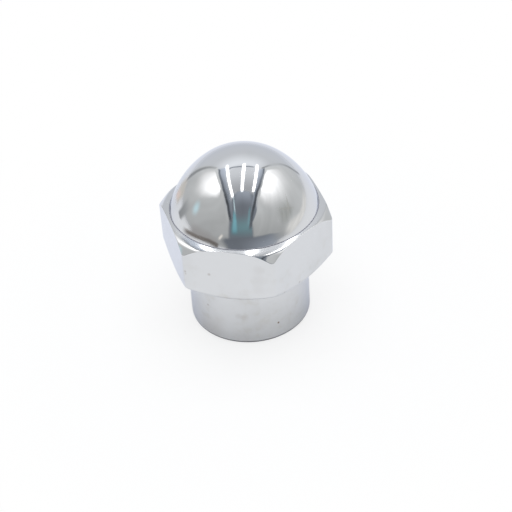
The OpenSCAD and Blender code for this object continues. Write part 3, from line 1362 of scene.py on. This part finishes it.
@dataclass
class Floor:
    """The pale sheet that the nut stands on: a wide flat disc, plain white where it ends.

    Attributes:
        radius: its radius in metres.
        colour: its colour.
        white: share of plain white that the camera and mirrors see in it.
        camera_white: further share of plain white that only the camera sees, beside the nut.
        whitening: distances from the nut, in metres, over which that rises until all is white.
        rings: mesh rows, which lie closer together near the nut.
        sectors: mesh columns.
    """

    radius: float = 0.9
    colour: Colour = (0.915, 0.93, 0.95)
    white: float = 0.1
    camera_white: float = 0.68
    whitening: Place = (0.012, 0.06)
    rings: int = 9
    sectors: int = 72

    def build(self) -> None:
        """Lays the sheet: rings of x = r cos a, y = r sin a at z = 0."""
        radius = self.radius * np.linspace(0.0, 1.0, self.rings)[:, None] ** 2
        azimuth = np.linspace(0, 360, self.sectors + 1)[:-1]
        points = around(radius + 0 * azimuth, 0 * radius, azimuth)
        mesh = new_mesh("floor", points, quads(self.rings, self.sectors))
        close(mesh)
        mesh.materials.append(self.material())
        put("floor", mesh)

    def material(self) -> bpy.types.Material:
        """Makes the sheet's matt white, with plain white mixed in for the camera and for mirrors.

        Returns:
            The material.
        """
        n = Nodes(bpy.data.materials.new("floor_sheet"))
        camera, seen = n.seen()
        place = n.add("ShaderNodeTexCoord").outputs["Object"]
        away = n.feed(n.add("ShaderNodeVectorMath", operation="LENGTH"), i0=place).outputs["Value"]
        plain_white = n.ramp(away, *self.whitening, self.camera_white, 1.0 - self.white)
        share = n.math("MULTIPLY", camera, plain_white)
        share = n.math("ADD", share, n.math("MULTIPLY", seen, self.white))
        matt = n.feed(n.add("ShaderNodeBsdfDiffuse"), Color=(*self.colour, 1))
        plain = n.feed(n.add("ShaderNodeEmission"), Color=(*WHITE, 1), Strength=1.0)
        return n.lit(share, matt, plain)


@dataclass
class Lamps:
    """The soft light: one wide lamp overhead and an even fill from the world.

    Attributes:
        width: the lamp's width in metres.
        height: its height in metres.
        power: its power in watts.
        fill: strength of the world's light on matt surfaces.
    """

    width: float = 0.9
    height: float = 0.8
    power: float = 5.3
    fill: float = 0.45

    def build(self, turn: float) -> None:
        """Hangs the lamp and sets the world.

        Args:
            turn: azimuth of the camera in the frame.
        """
        data = bpy.data.lights.new("overhead_lamp", "AREA")
        data.shape, data.size, data.energy = "SQUARE", self.width, self.power
        lamp = put("overhead_lamp", data)
        lamp.location = (0.0, 0.0, self.height)
        lamp.rotation_euler = (0.0, 0.0, math.radians(turn))
        lamp.visible_camera = lamp.visible_glossy = False
        n = Nodes(bpy.data.worlds.new("studio"))
        strength = n.ramp(n.seen()[1], 0.0, 1.0, self.fill, 1.0)
        sky = n.feed(n.add("ShaderNodeBackground"), Color=(*WHITE, 1), Strength=strength)
        bpy.context.scene.world = n.output(sky, "World")


@dataclass
class Viewpoint:
    """The camera.

    Attributes:
        azimuth: azimuth in the frame, 0 towards -Y and rising to the right.
        elevation: elevation.
        distance: distance from the nut's middle.
        middle: height of the nut's middle.
        aim: how far the aim lies to the right of the middle and above it, in the picture.
        roll: how far the camera leans.
        lens: focal length.
        sensor: the sensor's width.
        clip: nearest and furthest distance that it shows, in metres.
    """

    azimuth: float = 14.92
    elevation: float = 38.59
    distance: float = 180.8
    middle: float = 11.0
    aim: Place = (1.195, -1.472)
    roll: float = -3.777
    lens: float = 87.55
    sensor: float = 36.0
    clip: Place = (0.01, 10.0)

    def build(self) -> None:
        """Makes the camera and gives it to the scene.

        It stands at middle + distance * (0, -cos e, sin e) and looks at the aim, then leans by the
        roll about its own axis, and all of it turns with the azimuth.
        """
        e, roll = math.radians(self.elevation), math.radians(self.roll)
        centre = Vector((0.0, 0.0, self.middle))
        spot = centre + self.distance * Vector((0.0, -math.cos(e), math.sin(e)))
        upward = Vector((0, math.sin(e), math.cos(e)))
        aim = centre + self.aim[0] * Vector((1, 0, 0)) + self.aim[1] * upward
        ahead = (aim - spot).normalized()
        right = ahead.cross(Vector((0, 0, 1))).normalized()
        up = right.cross(ahead)
        x = math.cos(roll) * right + math.sin(roll) * up
        y = -math.sin(roll) * right + math.cos(roll) * up
        pose = Matrix((x, y, -ahead)).transposed().to_4x4()
        pose.translation = spot * MM
        data = bpy.data.cameras.new("camera")
        data.lens, data.sensor_width = self.lens, self.sensor
        data.clip_start, data.clip_end = self.clip
        camera = put("camera", data)
        camera.matrix_world = Matrix.Rotation(math.radians(self.azimuth), 4, "Z") @ pose
        bpy.context.scene.camera = camera


# --------------------------------------------------------------------------- the scene


def main() -> None:
    """Loads the frame, then builds the nut, the studio and the camera in order."""
    logging.basicConfig(level=logging.INFO, format="%(name)s: %(message)s")
    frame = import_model()
    LOG.info("frame holds %s", ", ".join(sorted(frame["nodes"])))
    bpy.context.scene.view_settings.view_transform = "Standard"

    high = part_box(NODE)[1]
    nut = ShoulderNut(height=high.z / MM, bar=HexagonBar(flat_r=high.y / MM))
    # Darker grey chrome for the groove round the dome's foot: painted shade in the recess
    groove = ChromeFinish("chrome_groove_painted_shade", (0.50, 0.50, 0.54), (0.44, 0.44, 0.48), rough=(0.26, 0.36))
    # Near-black chrome for the bevel round the end face: painted shade of the contact with the floor
    rim = ChromeFinish("chrome_rim_painted_shade", (0.19, 0.19, 0.21), (0.15, 0.15, 0.17), rough=(0.24, 0.36))
    finishes = {
        Metal.CHROME: ChromeFinish(pits=PITS).material(),
        Metal.BORE: BoreFinish().material(),
        Metal.GROOVE: groove.material(),
        Metal.RIM: rim.material(),
    }
    piece = nut.build(finishes)
    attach(piece, BODY)
    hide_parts(NODE)
    LOG.info("%s: %d points, %d faces", piece.name, len(piece.data.vertices), len(piece.data.polygons))

    view = Viewpoint()
    Floor().build()
    tent = LightTent(radius=1.0, turn=view.azimuth, cards=tent_cards())
    tent.build()
    OverheadTube().build(tent)
    Lamps().build(view.azimuth)
    view.build()


if __name__ == "__main__":
    main()
